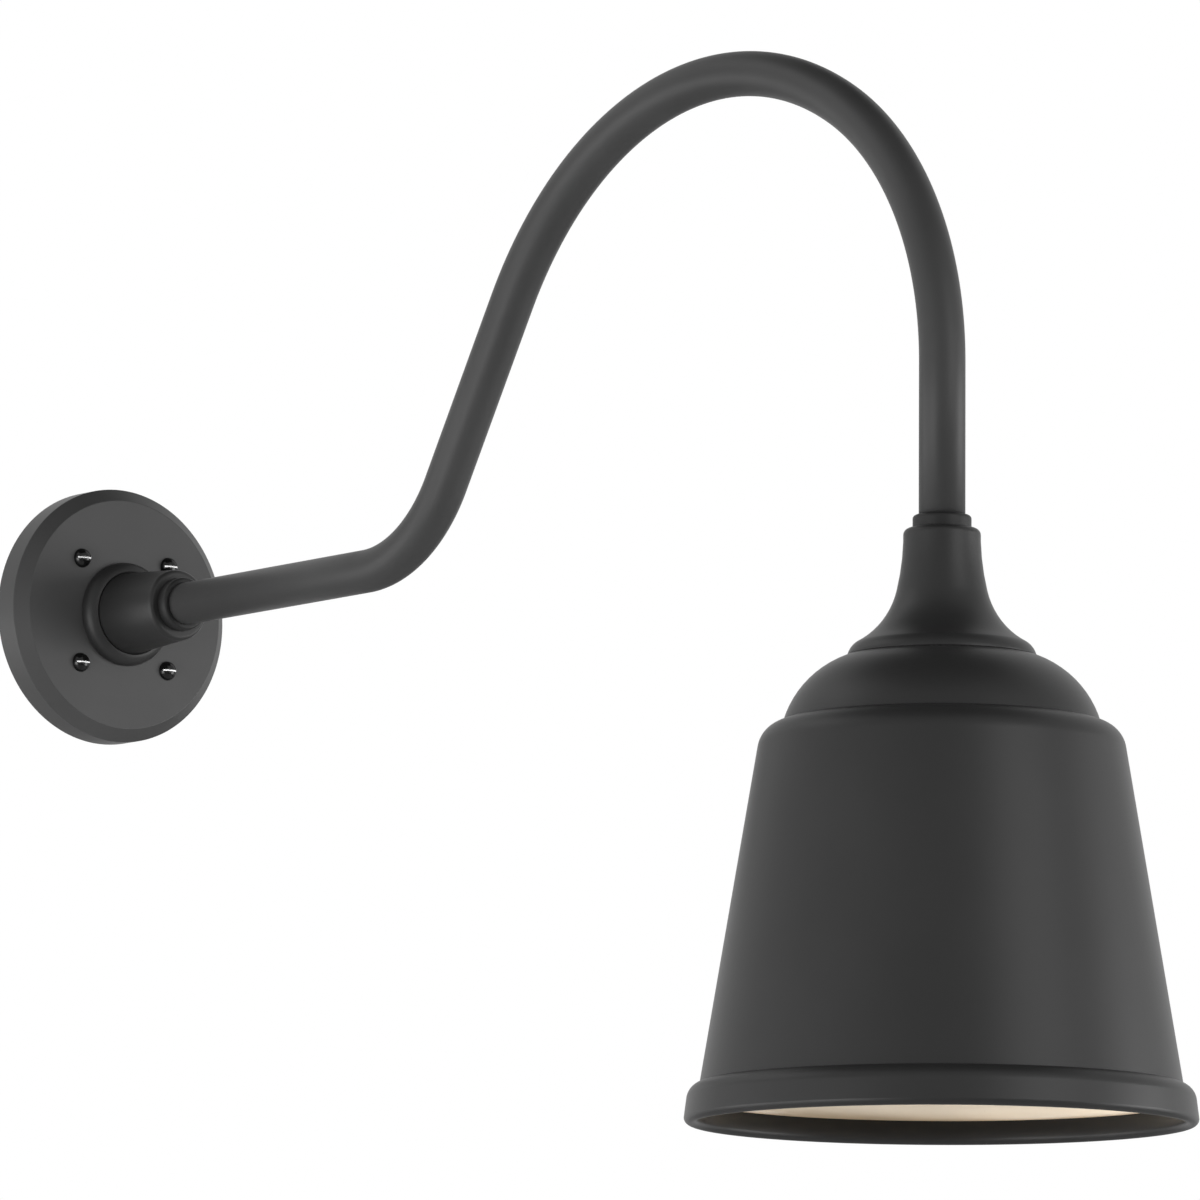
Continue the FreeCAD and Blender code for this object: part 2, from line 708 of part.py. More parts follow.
def neck():
    top = neck_top_level
    waist = top - neck_waist_drop
    mouth = top - neck_mouth_drop
    wall = neck_wall
    hole = grommet_diameter / 2 + thread_gap
    seat = collar_spigot_diameter / 2 + thread_gap
    outline = Outline(hole, web_top_level)
    outline.line(arm_radius + running_gap, web_top_level)
    outline.line(arm_radius + running_gap, top - collar_seat_depth)
    outline.line(seat, top - collar_seat_depth)
    outline.line(seat, top)
    outline.line(neck_top_diameter / 2, top, neck_top_round)
    outline.line(neck_top_diameter / 2, top - 2 * neck_top_round)
    outline.arc(neck_waist_via_shares, neck_waist_diameter / 2, waist)
    outline.arc(neck_mouth_via_shares, neck_mouth_diameter / 2, mouth)
    outline.arc(flange_via_shares, flange_diameter / 2, neck_base_level + flange_edge)
    outline.line(flange_diameter / 2, neck_base_level)
    outline.line(neck_opening_diameter / 2, neck_base_level)
    outline.line(neck_opening_diameter / 2, mouth)
    outline.arc(tuple(1 - share for share in neck_mouth_via_shares), neck_waist_diameter / 2 - wall, waist)
    outline.line(neck_top_diameter / 2 - wall / 2, web_level)
    outline.line(hole, web_level)
    casting = outline.turned(drop_axis)
    for side in (-1, 1):
        post_top = vector(side * post_spacing / 2, -reach, web_level + neck_web / 2)
        post_end = vector(side * post_spacing / 2, -reach, holder_top_level)
        casting = casting.fuse(rod(post_top, post_end, post_diameter))
        hole_top = vector(side * post_spacing / 2, -reach, holder_top_level + post_screw_length)
        casting = casting.cut(rod(hole_top - vector(0, 0, holder_roof), post_end - vector(0, 0, overrun),
                                  post_screw_diameter + thread_gap))
    for point in shade_screw_points(neck_base_level):
        hole_top = point + vector(0, 0, shade_screw_length - shade_wall - shade_gasket_thickness + open_gap)
        casting = casting.cut(rod(point - vector(0, 0, overrun), hole_top, shade_screw_diameter + thread_gap))
    grub_start = vector(0, -reach, neck_grub_level)
    grub_end = grub_start + vector(0, neck_mouth_diameter / 2, 0)
    return tidy(casting.cut(rod(grub_start, grub_end, grub_diameter + thread_gap)))


def neck_set_screw():
    centre = vector(0, -reach, neck_grub_level)
    return grub_screw(centre, vector(0, 1, 0), neck_top_diameter / 2)


def shade_screw_points(level):
    """The points of the shade's screws at one level, the first one nearest the wall."""
    points = []
    for index in range(shade_screw_count):
        angle = math.pi / 2 + 2 * math.pi * index / shade_screw_count
        place = vector(math.cos(angle), math.sin(angle), 0) * (shade_screw_circle / 2)
        points.append(place + vector(0, -reach, level))
    return points


def shade_gasket():
    outline = Outline(neck_opening_diameter / 2, neck_base_level)
    outline.line(flange_diameter / 2 - shade_gasket_thickness, neck_base_level)
    outline.line(flange_diameter / 2 - shade_gasket_thickness, shade_top_level)
    outline.line(neck_opening_diameter / 2, shade_top_level)
    ring = outline.turned(drop_axis)
    for point in shade_screw_points(shade_top_level):
        ring = ring.cut(rod(point - vector(0, 0, overrun), point + vector(0, 0, overrun),
                            shade_screw_diameter + 2 * hole_gap))
    return tidy(ring)


def shade():
    top = shade_top_level
    dome_base = top - dome_height
    shoulder_base = dome_base - shoulder_height
    bottom = top - shade_height
    rim_top = bottom + rim_height
    lip_level = bottom + hem_width / 2
    outline = Outline(shade_opening_diameter / 2, top)
    outline.line(shade_flat_diameter / 2, top)
    outline.arc(dome_via_shares, dome_diameter / 2, dome_base)
    outline.line(dome_diameter / 2 + shoulder_step, dome_base - shoulder_step_drop)
    outline.arc(shoulder_via_shares, shoulder_diameter / 2, shoulder_base)
    outline.line(cone_diameter / 2, rim_top)
    outline.arc(rim_via_shares, rim_top_diameter / 2, rim_top - rim_top_drop)
    outline.line(rim_diameter / 2, lip_level)
    outline.half_turn(-1, rim_diameter / 2 - hem_width, lip_level)
    outline.line(rim_diameter / 2 - hem_width, bottom + hem_height)
    shell = outline.shell(drop_axis, shade_wall)
    for point in shade_screw_points(top):
        shell = shell.cut(rod(point - vector(0, 0, overrun), point + vector(0, 0, overrun),
                              shade_screw_diameter + 2 * hole_gap))
    return tidy(shell)


def shade_screws():
    under = shade_top_level - shade_wall
    up = vector(0, 0, 1)
    screws = [small_screw(point, up, shade_screw_diameter, shade_screw_length)
              for point in shade_screw_points(under)]
    return Part.makeCompound(screws)


def lampholder():
    radius = holder_diameter / 2
    bottom = holder_top_level - holder_height
    outline = Outline(0, holder_top_level)
    outline.line(radius, holder_top_level, holder_round)
    outline.line(radius, bottom, holder_round)
    outline.line(holder_bore_diameter / 2, bottom)
    outline.line(holder_bore_diameter / 2, holder_roof_level)
    outline.line(0, holder_roof_level)
    body = outline.turned(drop_axis)
    for side in (-1, 1):
        hole = vector(side * post_spacing / 2, -reach, holder_top_level + overrun)
        hole_end = hole - vector(0, 0, holder_roof + 2 * overrun)
        body = body.cut(rod(hole, hole_end, post_screw_diameter + hole_gap))
        place = vector(0, -reach + side * terminal_place, holder_top_level + overrun)
        depth = vector(0, 0, terminal_length + overrun + open_gap)
        body = body.cut(rod(place, place - depth, terminal_diameter + hole_gap))
    return tidy(body)


def lampholder_screws():
    screws = []
    for side in (-1, 1):
        point = vector(side * post_spacing / 2, -reach, holder_roof_level)
        screws.append(small_screw(point, vector(0, 0, 1), post_screw_diameter, post_screw_length))
    return Part.makeCompound(screws)


def threaded_wall(radius, top, bottom):
    """Corners of a waved wall between two levels, as (radius, level), a crest and a hollow in each pitch."""
    count = int((top - bottom) / thread_pitch)
    corners = []
    for index in range(count):
        level = top - index * thread_pitch
        corners.append((radius + shell_wave, level - thread_pitch / 4))
        corners.append((radius, level - thread_pitch * 3 / 4))
    return corners


def screw_shell():
    inside = shell_bore_diameter / 2
    top = holder_roof_level
    bottom = top - shell_height
    corners = threaded_wall(inside, top - shell_wave, bottom)
    outline = Outline(inside, top)
    for radius, level in corners:
        outline.line(radius, level, shell_wave)
    outline.line(inside, bottom)
    outline.line(inside + shell_wall, bottom)
    for radius, level in reversed(corners):
        outline.line(radius + shell_wall, level, shell_wave)
    outline.line(inside + shell_wall, top)
    return outline.turned(drop_axis)


def centre_contact():
    """A brass strip under the holder's roof, with a tongue bent down to the lamp."""
    top = holder_roof_level
    strip = Part.makeBox(contact_width, contact_length, contact_thickness)
    strip.translate(vector(-contact_width / 2, -reach - contact_length / 2, top - contact_thickness))
    start = vector(0, -reach - contact_length / 2, top - contact_thickness / 2)
    low = top - contact_thickness / 2 - contact_drop
    middle = vector(0, -reach, low)
    end = vector(0, -reach + contact_length / 2 - contact_thickness, low)
    half = vector(0, 0, contact_thickness / 2)
    wire = Part.makePolygon([start + half, middle + half, end + half, end - half, middle - half, start - half,
                             start + half])
    tongue = Part.Face(wire).extrude(vector(contact_width, 0, 0))
    tongue.translate(vector(-contact_width / 2, 0, 0))
    return tidy(strip.fuse(tongue).removeSplitter())


def terminal_screws():
    screws = []
    for side in (-1, 1):
        base = vector(0, -reach + side * terminal_place, holder_top_level)
        head = rod(base, base + vector(0, 0, terminal_head_height), terminal_head_diameter)
        screw = head.fuse(rod(base, base - vector(0, 0, terminal_length), terminal_diameter))
        slot = Part.makeBox(terminal_head_diameter * 2, terminal_head_height / 3, terminal_head_height)
        slot.translate(base + vector(-terminal_head_diameter, -terminal_head_height / 6, 0))
        slot.translate(vector(0, 0, terminal_head_height * 2 / 3))
        screws.append(tidy(screw.cut(slot)))
    return Part.makeCompound(screws)


def lamp_lead(side):
    """A core from the cable's end in the neck, down and out to its terminal on the holder."""
    y = -reach + side * lead_offset
    terminal_edge = terminal_place - terminal_head_diameter / 2
    end_y = -reach + side * (terminal_edge - lead_diameter * terminal_lead_share)
    fall = abs(end_y - y)
    start = vector(0, y, cable_end_level)
    corner_level = cable_end_level - lamp_lead_straight - lamp_lead_bend_radius * math.tan(math.pi / 8)
    corner = vector(0, y, corner_level)
    end = vector(0, end_y, corner_level - fall)
    return lead([start, corner, end], lamp_lead_bend_radius)


def lamp_contact():
    outline = Outline(0, lamp_tip_level)
    outline.arc(lamp_tip_via_shares, lamp_tip_diameter / 2, lamp_tip_level - lamp_tip_height)
    outline.line(0, lamp_tip_level - lamp_tip_height)
    return outline.turned(drop_axis)


def lamp_insulator():
    top = lamp_tip_level - lamp_tip_height
    outline = Outline(0, top)
    outline.line(lamp_tip_diameter / 2 + open_gap, top)
    outline.line(lamp_base_diameter / 2 - 2 * shell_wave, lamp_base_level)
    outline.line(0, lamp_base_level)
    return outline.turned(drop_axis)


def lamp_base():
    crest = lamp_base_diameter / 2
    root = crest - shell_wave
    corners = threaded_wall(root, lamp_base_level - shell_wave, lamp_collar_level + shell_wave)
    outline = Outline(0, lamp_base_level)
    outline.line(root, lamp_base_level)
    for radius, level in corners:
        outline.line(radius, level, shell_wave)
    outline.line(root, lamp_collar_level)
    outline.line(0, lamp_collar_level)
    return outline.turned(drop_axis)


def lamp_housing():
    """The bulb's plastic body, which swells from the base to the globe, with a seat for the board."""
    top = lamp_collar_level
    bottom = lamp_housing_level
    collar_end = top - lamp_collar_height
    globe = lamp_globe_diameter / 2
    outline = Outline(0, top)
    outline.line(lamp_collar_diameter / 2, top, shell_wave)
    outline.line(lamp_collar_diameter / 2, collar_end)
    outline.arc(lamp_housing_via_shares, globe - lamp_globe_wall, bottom)
    outline.line(lamp_board_diameter / 2 + thread_gap, bottom)
    outline.line(lamp_board_diameter / 2 + thread_gap, bottom + lamp_seat)
    outline.line(0, bottom + lamp_seat)
    return outline.turned(drop_axis)


def led_board():
    top = vector(0, -reach, lamp_housing_level + lamp_seat)
    return rod(top, top - vector(0, 0, lamp_board_thickness), lamp_board_diameter)


def led_emitters():
    face = lamp_housing_level + lamp_seat - lamp_board_thickness
    emitters = []
    for index in range(emitter_count):
        angle = 2 * math.pi * index / emitter_count
        block = Part.makeBox(emitter_size, emitter_size, emitter_thickness)
        block.translate(vector(-emitter_size / 2, -emitter_size / 2, -emitter_thickness))
        block.translate(vector(emitter_circle / 2, 0, face))
        block.rotate(vector(0, 0, 0), vector(0, 0, 1), math.degrees(angle))
        emitters.append(block.translated(vector(0, -reach, 0)))
    return Part.makeCompound(emitters)


def lamp_diffuser():
    """The opal globe: a thin bowl that hangs from the housing's lower edge."""
    globe = lamp_globe_diameter / 2
    inner = globe - lamp_globe_wall
    top = lamp_housing_level
    middle = top - lamp_globe_spring
    slant = math.sqrt(1 / 2)
    outline = Outline(globe, top)
    outline.line(globe, middle)
    outline.arc((1 - slant, slant), 0, middle - globe)
    outline.line(0, middle - inner)
    outline.arc((slant, 1 - slant), inner, middle)
    outline.line(inner, top)
    return outline.turned(drop_axis)


def build():
    """Writes every piece to its own file, from the wall outwards."""
    os.makedirs("parts", exist_ok=True)
    web_bottom_flange = web_level - grommet_flange
    pieces = {
        "wall_plate": wall_plate(),
        "wall_gasket": wall_gasket(),
        "plate_screws": Part.makeCompound(at_corners(plate_screw())),
        "hub": hub(),
        "hub_set_screw": hub_set_screw(),
        "hub_washer": hub_washer(),
        "hub_locknut": hub_locknut(),
        "wall_collar": collar(wall_axis, hub_nose_depth),
        "wall_seal": seal(wall_axis, hub_nose_depth),
        "hub_grommet": grommet(wall_axis, hub_spigot_depth - grommet_flange, hub_spigot_depth,
                               plate_depth + hub_chamber_floor),
        "live_lead": wall_lead(-1),
        "neutral_lead": wall_lead(1),
        "earth_lead": earth_lead(),
        "earth_screw": earth_screw(),
        "wire_connectors": wire_connectors(),
        "arm_tube": arm_tube(),
        "arm_cable": arm_cable(),
        "drop_collar": collar(drop_axis, neck_top_level),
        "drop_seal": seal(drop_axis, neck_top_level),
        "neck": neck(),
        "neck_set_screw": neck_set_screw(),
        "neck_grommet": grommet(drop_axis, web_bottom_flange, web_level, web_top_level),
        "shade_gasket": shade_gasket(),
        "shade": shade(),
        "shade_screws": shade_screws(),
        "lampholder": lampholder(),
        "lampholder_screws": lampholder_screws(),
        "screw_shell": screw_shell(),
        "centre_contact": centre_contact(),
        "terminal_screws": terminal_screws(),
        "lamp_live_lead": lamp_lead(-1),
        "lamp_neutral_lead": lamp_lead(1),
        "lamp_contact": lamp_contact(),
        "lamp_insulator": lamp_insulator(),
        "lamp_base": lamp_base(),
        "lamp_housing": lamp_housing(),
        "led_board": led_board(),
        "led_emitters": led_emitters(),
        "lamp_diffuser": lamp_diffuser(),
    }
    for node, shape in pieces.items():
        save(shape, node)


build()
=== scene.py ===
from math import atan2, ceil, cos, pi, radians, sin, tan

import bmesh
import bpy
from mathutils import Matrix, Vector


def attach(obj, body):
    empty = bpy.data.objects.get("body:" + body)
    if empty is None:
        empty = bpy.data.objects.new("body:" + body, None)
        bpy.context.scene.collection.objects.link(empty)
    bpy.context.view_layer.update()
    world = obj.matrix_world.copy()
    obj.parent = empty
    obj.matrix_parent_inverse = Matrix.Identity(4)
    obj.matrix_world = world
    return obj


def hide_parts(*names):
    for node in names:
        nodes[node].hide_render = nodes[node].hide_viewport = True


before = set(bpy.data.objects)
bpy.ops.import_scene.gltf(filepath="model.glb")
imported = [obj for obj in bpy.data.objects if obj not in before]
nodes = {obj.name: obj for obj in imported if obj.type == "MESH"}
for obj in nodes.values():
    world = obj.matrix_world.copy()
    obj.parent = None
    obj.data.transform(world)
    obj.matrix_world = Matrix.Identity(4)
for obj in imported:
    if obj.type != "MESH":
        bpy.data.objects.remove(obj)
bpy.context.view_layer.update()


# WALL PLATE
# A round hollow aluminium casting with a bevelled front edge, powder-coated satin black.
# It is turned after casting, and four bosses inside it take the screws into the wall.

MM = 0.001
REACH = 791 * MM
ON_WALL = Matrix.Rotation(radians(90), 4, "X")
ON_DROP = Matrix.Translation((0, -REACH, 0))

plate_radius = 76.2 * MM
plate_side = 16.0 * MM
plate_depth = 22.5 * MM
plate_face_radius = 68.8 * MM
plate_inside_depth = 19.0 * MM
plate_inside_radius = 71.2 * MM
plate_slope_start = 14.25 * MM
plate_roof_radius = 67.5 * MM
plate_hole_radius = 10.2 * MM
cast_round = 0.875 * MM
boss_radius = 6.5 * MM
boss_start = 6.0 * MM
boss_place = 31.431 * MM
boss_hole_radius = 3.3 * MM
boss_end = 20.75 * MM
drill_end = 30.0 * MM
overrun = 1.0 * MM
gasket_radius = 74.7 * MM
gasket_width = 2.0 * MM
gasket_depth = 2.0 * MM
groove_gap = 0.1 * MM
earth_boss_radius = 4.5 * MM
earth_boss_start = 7.6 * MM
earth_boss_place = 22.0 * MM
coat_colour = (0.017, 0.017, 0.017, 1)
arc_step = radians(5)
sharp_angle = radians(32)
weld = 0.001 * MM
rod_sides = 32


def arc_on(bm, last, via, end):
    """Carries an outline on from its last point, along the circle through via, to end."""
    start_x, start_z = last.co.x, last.co.z
    via_x, via_z = via[0] - start_x, via[1] - start_z
    end_x, end_z = end[0] - start_x, end[1] - start_z
    cross = 2 * (via_x * end_z - via_z * end_x)
    via_square = via_x ** 2 + via_z ** 2
    end_square = end_x ** 2 + end_z ** 2
    centre_x = (end_z * via_square - via_z * end_square) / cross
    centre_z = (via_x * end_square - end_x * via_square) / cross
    from_angle = atan2(-centre_z, -centre_x)
    to_angle = atan2(end_z - centre_z, end_x - centre_x)
    turn = (to_angle - from_angle) % (2 * pi)
    if cross < 0:
        turn -= 2 * pi
    centre = (start_x + centre_x, 0, start_z + centre_z)
    made = bmesh.ops.spin(bm, geom=[last], cent=centre, axis=(0, 1, 0), dvec=(0, 0, 0), angle=-turn,
                          steps=ceil(abs(turn) / arc_step), use_merge=False, use_duplicate=False)
    return made["geom_last"][0]


def outline_of(bm, corners, closed):
    """Draws a half section: (radius, height), with a third item for a round there or an arc to there.

    An arc is given by the shares of its two steps that its middle point lies at."""
    last = bm.verts.new((corners[0][0], 0, corners[0][1]))
    first = last
    rounds = []
    for corner in corners[1:]:
        radius, height = corner[:2]
        if len(corner) > 2 and isinstance(corner[2], tuple):
            from_radius, from_height = last.co.x, last.co.z
            via = (from_radius + corner[2][0] * (radius - from_radius),
                   from_height + corner[2][1] * (height - from_height))
            last = arc_on(bm, last, via, (radius, height))
            continue
        point = bm.verts.new((radius, 0, height))
        bm.edges.new((last, point))
        last = point
        if len(corner) > 2:
            rounds.append((point, corner[2]))
    if closed:
        bm.edges.new((last, first))
    for point, size in rounds:
        ways = [(edge.other_vert(point).co - point.co) for edge in point.link_edges]
        slide = size / tan(ways[0].angle(ways[1]) / 2)
        bmesh.ops.bevel(bm, geom=[point], offset=slide, offset_type="OFFSET", segments=5,
                        profile=0.5, affect="VERTICES", material=-1)


def turned(corners, seat, steps=128, closed=True):
    """A half section spun all the way round its axis and put on its seat."""
    bm = bmesh.new()
    outline_of(bm, corners, closed)
    bmesh.ops.spin(bm, geom=bm.verts[:] + bm.edges[:], cent=(0, 0, 0), axis=(0, 0, 1), dvec=(0, 0, 0),
                   angle=2 * pi, steps=steps, use_merge=True, use_duplicate=False)
    bmesh.ops.remove_doubles(bm, verts=bm.verts, dist=weld)
    bmesh.ops.recalc_face_normals(bm, faces=bm.faces)
    bmesh.ops.transform(bm, matrix=seat, verts=bm.verts)
    return bm


def rod(radius, start, end):
    """A plain round bar between two points."""
    bm = bmesh.new()
    way = Vector(end) - Vector(start)
    turn = Vector((0, 0, 1)).rotation_difference(way).to_matrix().to_4x4()
    place = Matrix.Translation((Vector(start) + Vector(end)) / 2) @ turn
    bmesh.ops.create_cone(bm, cap_ends=True, cap_tris=False, segments=rod_sides, radius1=radius,
                          radius2=radius, depth=way.length, matrix=place)
    return bm


def mesh_of(bm, name):
    """The finished mesh of a bmesh, smooth, with its corners kept sharp."""
    for face in bm.faces:
        face.smooth = True
    mesh = bpy.data.meshes.new(name)
    bm.to_mesh(mesh)
    bm.free()
    mesh.set_sharp_from_angle(angle=sharp_angle)
    return mesh


def piece(name, bm, body, material, slot, *stands_for):
    """A new piece on its body, in its finish, in place of its CAD nodes."""
    made = bpy.data.objects.new(name, mesh_of(bm, name))
    bpy.context.scene.collection.objects.link(made)
    made.data.materials.append(material)
    even = made.modifiers.new("even_shading", "WEIGHTED_NORMAL")
    even.keep_sharp = True
    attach(made, body)
    if stands_for:
        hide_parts(*stands_for)
    return made


def cut(bm, tools, operation="DIFFERENCE"):
    """A solid with other solids cut from it or joined to it."""
    for tool in tools:
        bodies = []
        for part in (bm, tool):
            mesh = bpy.data.meshes.new("blank")
            part.to_mesh(mesh)
            part.free()
            bodies.append(bpy.data.objects.new("blank", mesh))
            bpy.context.scene.collection.objects.link(bodies[-1])
        saw = bodies[0].modifiers.new("saw", "BOOLEAN")
        saw.operation = operation
        saw.solver = "EXACT"
        saw.object = bodies[1]
        seen = bodies[0].evaluated_get(bpy.context.evaluated_depsgraph_get())
        bm = bmesh.new()
        bm.from_mesh(seen.to_mesh())
        for body in bodies:
            bpy.data.objects.remove(body)
    return bm


def new_material(name):
    """A material with its Principled shader and its Object coordinates."""
    material = bpy.data.materials.new(name)
    material.use_nodes = True
    tree = material.node_tree
    shader = tree.nodes["Principled BSDF"]
    place = tree.nodes.new("ShaderNodeTexCoord").outputs["Object"]
    return material, tree, shader, place


def group_tree(name, inputs, outputs):
    """An empty node group with named inputs and outputs."""
    tree = bpy.data.node_groups.new(name, "ShaderNodeTree")
    for label, kind in inputs:
        tree.interface.new_socket(label, in_out="INPUT", socket_type="NodeSocket" + kind)
    for label, kind in outputs:
        tree.interface.new_socket(label, in_out="OUTPUT", socket_type="NodeSocket" + kind)
    return tree, tree.nodes.new("NodeGroupInput").outputs, tree.nodes.new("NodeGroupOutput").inputs


def noise(tree, place, scale, detail=2.0):
    """A noise texture read at a place, as its even 0 to 1 factor."""
    node = tree.nodes.new("ShaderNodeTexNoise")
    node.inputs["Scale"].default_value = scale
    node.inputs["Detail"].default_value = detail
    tree.links.new(place, node.inputs["Vector"])
    return node.outputs["Fac"]


def mapped(tree, value, low, high, from_low=0.3, from_high=0.7):
    """A value stretched from its own span to another, and held inside it."""
    node = tree.nodes.new("ShaderNodeMapRange")
    node.inputs["From Min"].default_value = from_low
    node.inputs["From Max"].default_value = from_high
    tree.links.new(value, node.inputs["Value"])
    for label, limit in (("To Min", low), ("To Max", high)):
        if isinstance(limit, (int, float)):
            node.inputs[label].default_value = limit
        else:
            tree.links.new(limit, node.inputs[label])
    return node.outputs["Result"]


def mixed(tree, share, first, second, blend="MIX"):
    """Two colours mixed by a share."""
    node = tree.nodes.new("ShaderNodeMix")
    node.data_type = "RGBA"
    node.blend_type = blend
    for label, value in (("Factor", share), ("A", first), ("B", second)):
        if isinstance(value, (int, float, tuple)):
            node.inputs[label].default_value = value
        else:
            tree.links.new(value, node.inputs[label])
    return node.outputs["Result"]


def sums(tree, operation, first, second):
    """One step of arithmetic on two values."""
    node = tree.nodes.new("ShaderNodeMath")
    node.operation = operation
    for socket, value in zip(node.inputs, (first, second)):
        if isinstance(value, (int, float)):
            socket.default_value = value
        else:
            tree.links.new(value, socket)
    return node.outputs["Value"]


def grain_group(name, coarse, fine, clouds, uneven):
    """A node group for an uneven finish: two sizes of grain in the relief, and clouds in the colour."""
    tree, given, wanted = group_tree(
        name,
        [("Place", "Vector"), ("Colour", "Color"), ("Roughness", "Float"), ("Spread", "Float")],
        [("Colour", "Color"), ("Roughness", "Float"), ("Height", "Float")])
    relief = noise(tree, given["Place"], coarse, 1.0)
    grain = noise(tree, given["Place"], fine, 1.0)
    cloud = mapped(tree, noise(tree, given["Place"], clouds, 3.0), 1 - uneven, 1 + uneven)
    tree.links.new(mixed(tree, 1.0, given["Colour"], cloud, "MULTIPLY"), wanted["Colour"])
    change = sums(tree, "MULTIPLY", sums(tree, "SUBTRACT", grain, 0.5), given["Spread"])
    tree.links.new(sums(tree, "ADD", given["Roughness"], change), wanted["Roughness"])
    tree.links.new(sums(tree, "ADD", relief, sums(tree, "MULTIPLY", grain, 0.25)), wanted["Height"])
    return tree


def finish(name, grain, colour, roughness, height=0.004 * MM, spread=0.1, metallic=0.0, specular=0.5):
    """A finish of one colour, with its grain from a node group."""
    material, tree, shader, place = new_material(name)
    group = tree.nodes.new("ShaderNodeGroup")
    group.node_tree = grain
    tree.links.new(place, group.inputs["Place"])
    for label, value in (("Colour", colour), ("Roughness", roughness), ("Spread", spread)):
        group.inputs[label].default_value = value
    for label, target in (("Colour", "Base Color"), ("Roughness", "Roughness")):
        tree.links.new(group.outputs[label], shader.inputs[target])
    bump = tree.nodes.new("ShaderNodeBump")
    bump.inputs["Distance"].default_value = height
    tree.links.new(group.outputs["Height"], bump.inputs["Height"])
    tree.links.new(bump.outputs["Normal"], shader.inputs["Normal"])
    shader.inputs["Metallic"].default_value = metallic
    shader.inputs["Specular IOR Level"].default_value = specular
    return material


# Powder coat flows out as it is baked: a faint orange peel, with a fine grain on it
powder_grain = grain_group("powder_grain", 420.0, 2400.0, 9.0, 0.14)
# The plate's coat colour is lighter than coat_colour, which the hub, neck and shade wear: painted light, a
# lit copy of the one black powder coat, for the light on the plate's face.
plate_coat = finish("plate_coat", powder_grain, (0.045, 0.045, 0.045, 1), 0.42, specular=0.2)
plate = turned([(plate_hole_radius, plate_inside_depth),
                (plate_hole_radius, plate_depth),
                (plate_face_radius, plate_depth, cast_round),
                (plate_radius, plate_side, cast_round),
                (plate_radius, 0),
                (gasket_radius + groove_gap, 0),
                (gasket_radius + groove_gap, gasket_depth),
                (gasket_radius - gasket_width - groove_gap, gasket_depth),
                (gasket_radius - gasket_width - groove_gap, 0),
                (plate_inside_radius, 0),
                (plate_inside_radius, plate_slope_start),
                (plate_roof_radius, plate_inside_depth)], ON_WALL, steps=160)
boss_places = [(x * boss_place, z * boss_place) for x in (-1, 1) for z in (-1, 1)]
bosses = [rod(boss_radius, (x, -boss_start, z), (x, -boss_end, z)) for x, z in boss_places]
bosses.append(rod(earth_boss_radius, (0, -earth_boss_start, -earth_boss_place),
                  (0, -boss_end, -earth_boss_place)))
holes = [rod(boss_hole_radius, (x, overrun, z), (x, -drill_end, z)) for x, z in boss_places]
plate = cut(cut(plate, bosses, "UNION"), holes)
piece("plate_casting", plate, "wall_mount", plate_coat, "plate_coat", "wall_plate")


# PLATE SCREWS
# Four slotted round-head screws, black oxide over steel, oiled to a gloss.
# They go through the plate's bosses into the wall, and the faces inside their slots are bare bright metal.

head_top = 27.1 * MM
head_radius = 5.8 * MM
slot_width = 0.9 * MM
slot_floor = 25.2 * MM
shank_radius = 2.5 * MM
thread_radius = 3.0 * MM
core_radius = 2.2 * MM
thread_start = 1.0 * MM
thread_pitch = 2.0 * MM
thread_half_width = 0.3 * thread_pitch
thread_sunk = 0.15 * MM
thread_steps = 24
thread_length = 25.0 * MM
screw_tip = 30.0 * MM
cutter_length = 14.0 * MM
cutter_height = 6.0 * MM
slot_edge = slot_width / 2 + 0.02 * MM
slot_mouth = head_top - 0.3 * MM
slot_bed = slot_floor - 0.1 * MM

screw_black, tree, shader, place = new_material("screw_black")
shader.inputs["Base Color"].default_value = (0.004, 0.004, 0.004, 1)
shader.inputs["Specular IOR Level"].default_value = 0.25
tree.links.new(mapped(tree, noise(tree, place, 900.0), 0.12, 0.2), shader.inputs["Roughness"])
slot_metal, tree, shader, place = new_material("slot_metal")
shader.inputs["Base Color"].default_value = (0.42, 0.42, 0.42, 1)
shader.inputs["Metallic"].default_value = 1.0
tree.links.new(mapped(tree, noise(tree, place, 1500.0), 0.25, 0.4), shader.inputs["Roughness"])


def thread(start, length, seat):
    """A sharp ridge wound round the screw's core: a triangle spun and raised together."""
    bm = bmesh.new()
    corners = [bm.verts.new((core_radius - thread_sunk, 0, start + side * thread_half_width))
               for side in (-1, 1)]
    corners.append(bm.verts.new((thread_radius, 0, start)))
    edges = [bm.edges.new((corners[index - 1], corner)) for index, corner in enumerate(corners)]
    turns = length / thread_pitch
    steps = ceil(turns * thread_steps)
    bmesh.ops.spin(bm, geom=corners + edges, cent=(0, 0, 0), axis=(0, 0, 1), dvec=(0, 0, length / steps),
                   angle=2 * pi * turns, steps=steps, use_merge=False, use_duplicate=False)
    bmesh.ops.holes_fill(bm, edges=[edge for edge in bm.edges if edge.is_boundary], sides=3)
    bmesh.ops.recalc_face_normals(bm, faces=bm.faces)
    bmesh.ops.transform(bm, matrix=seat, verts=bm.verts)
    return bm


